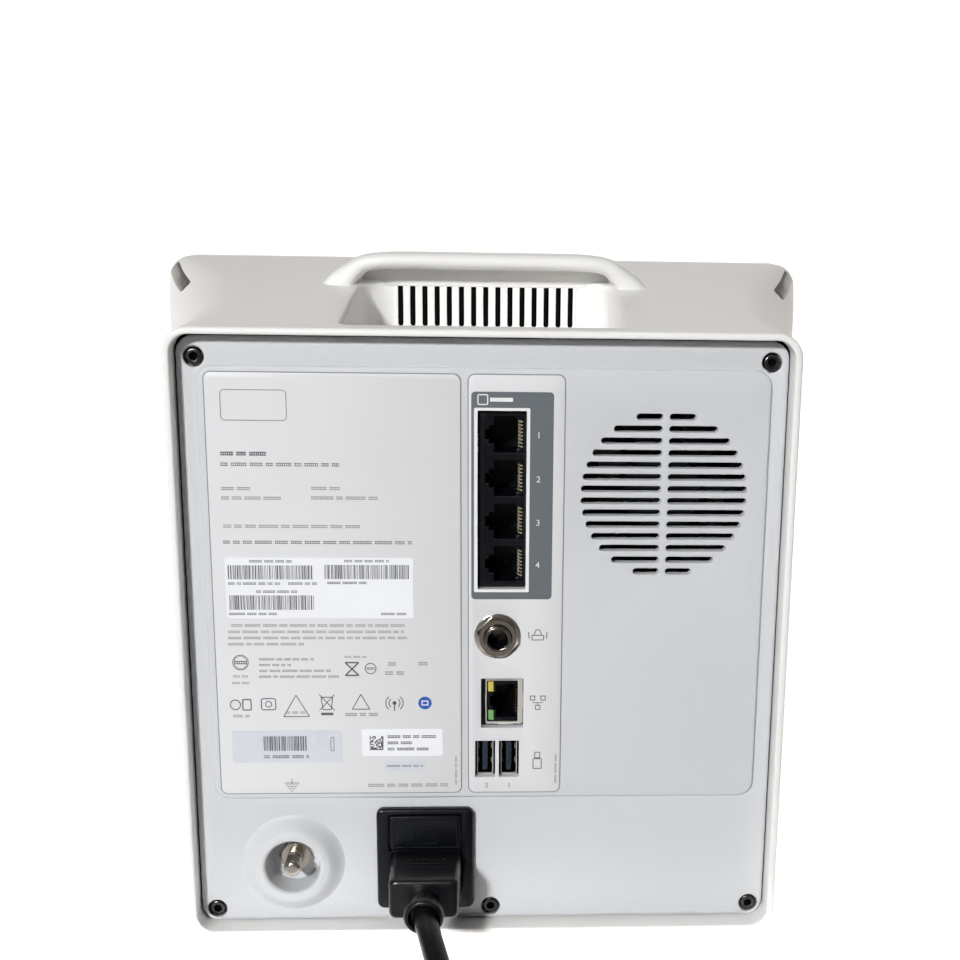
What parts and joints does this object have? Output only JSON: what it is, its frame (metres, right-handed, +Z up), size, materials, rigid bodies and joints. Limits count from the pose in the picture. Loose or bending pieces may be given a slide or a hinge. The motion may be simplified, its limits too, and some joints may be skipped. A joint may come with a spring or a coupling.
{
  "type": "patient monitor",
  "caption": "Bedside patient monitor with moulded carry handle, recessed rear connector panel with fan grille, mains lead, and a touch display with module dock at the front.",
  "frame": {"origin": "middle of the footprint on the standing surface, without the mains lead", "axes": "+Z up, the display faces -Y, the connector panel faces +Y"},
  "size_m": [0.252, 0.318, 0.242],
  "materials": {
    "housing_white": "fine satin moulded",
    "cover_grey": "finely textured",
    "label_film": "satin printed film",
    "smoked_window": "smoked translucent",
    "black_plastic": "moulded",
    "grey_plastic": "moulded",
    "shield_steel": "tin plated",
    "nickel": "nickel plated",
    "contact_gold": "gold plated",
    "screw_black": "black oxide",
    "rubber_black": "matt",
    "cord_black": "satin",
    "chassis_alu": "brushed sheet",
    "circuit_board": "solder mask",
    "touch_glass": "black bordered",
    "lcd_grey": "panel",
    "lamp_lens": "clear tinted",
    "fuse_glass": "glass tube",
    "key_white": "satin"
  },
  "bodies": {
    "monitor": {"main_housing": "housing_white", "carry_handle": "housing_white", "alarm_light_windows": "smoked_window", "front_bezel": "housing_white", "display_glass": "touch_glass", "display_gasket": "rubber_black", "lcd_module": "lcd_grey", "dock_cradle": "grey_plastic", "dock_connector": "black_plastic", "base_mount_plate": "chassis_alu", "rubber_feet": "rubber_black", "chassis_frame": "chassis_alu", "main_board": "circuit_board", "wireless_module": "shield_steel", "power_supply": "chassis_alu", "battery_pack": "grey_plastic", "speaker": "black_plastic", "rear_cover": "cover_grey", "rear_label": "label_film", "port_label": "label_film", "rear_screws": "screw_black", "module_jack_block": "black_plastic", "module_jack_contacts": "contact_gold", "ethernet_jack_shell": "shield_steel", "ethernet_jack_insert": "black_plastic", "ethernet_jack_contacts": "contact_gold", "ethernet_lamps": "lamp_lens", "usb_shells": "shield_steel", "usb_tongues": "black_plastic", "nurse_call_jack": "nickel", "nurse_call_nut": "nickel", "io_board": "circuit_board", "equipotential_pin": "nickel", "equipotential_nut": "nickel", "power_inlet": "black_plastic", "inlet_pins": "nickel", "fan_frame": "black_plastic", "fan_screws": "shield_steel"},
    "fan": {"fan_rotor": "black_plastic"},
    "home_key": {"home_button": "key_white"},
    "power_key": {"power_button": "key_white"},
    "dock_key": {"dock_release_button": "key_white"},
    "dock_hook": {"dock_latch": "black_plastic"},
    "fuse_tray": {"fuse_drawer": "black_plastic", "fuses": "fuse_glass"},
    "mains_lead": {"mains_plug_body": "cord_black", "mains_plug_relief": "cord_black", "mains_cord": "cord_black", "mains_cord_coil": "cord_black", "cord_tie": "black_plastic", "mains_cord_tail": "cord_black", "wall_plug": "cord_black", "wall_plug_relief": "cord_black", "wall_plug_blades": "nickel"}
  },
  "joints": [
    {"name": "fan_spin", "type": "hinge", "parent": "monitor", "child": "fan", "pos_m": [-0.06, 0.057, 0.165], "axis": [0, 1, 0], "continuous": true},
    {"name": "home_press", "type": "slide", "parent": "monitor", "child": "home_key", "axis": [0, 1, 0], "range_m": [0, 0.001], "stiffness_N_per_m": 600, "springref_m": -0.001},
    {"name": "power_press", "type": "slide", "parent": "monitor", "child": "power_key", "axis": [0, 1, 0], "range_m": [0, 0.001], "stiffness_N_per_m": 600, "springref_m": -0.001},
    {"name": "dock_release_press", "type": "slide", "parent": "monitor", "child": "dock_key", "axis": [0, 1, 0], "range_m": [0, 0.002], "stiffness_N_per_m": 500, "springref_m": -0.001},
    {"name": "dock_hook_slide", "type": "slide", "parent": "monitor", "child": "dock_hook", "axis": [1, 0, 0], "range_m": [0, 0.003]},
    {"name": "fuse_tray_slide", "type": "slide", "parent": "monitor", "child": "fuse_tray", "axis": [0, 1, 0], "range_m": [0, 0.02]},
    {"name": "mains_lead_pull", "type": "slide", "parent": "monitor", "child": "mains_lead", "axis": [0, 1, 0], "range_m": [0, 0.03]}
  ],
  "couplings": [
    {"joint": "dock_hook_slide", "follows": "dock_release_press", "ratio": 1.5}
  ]
}
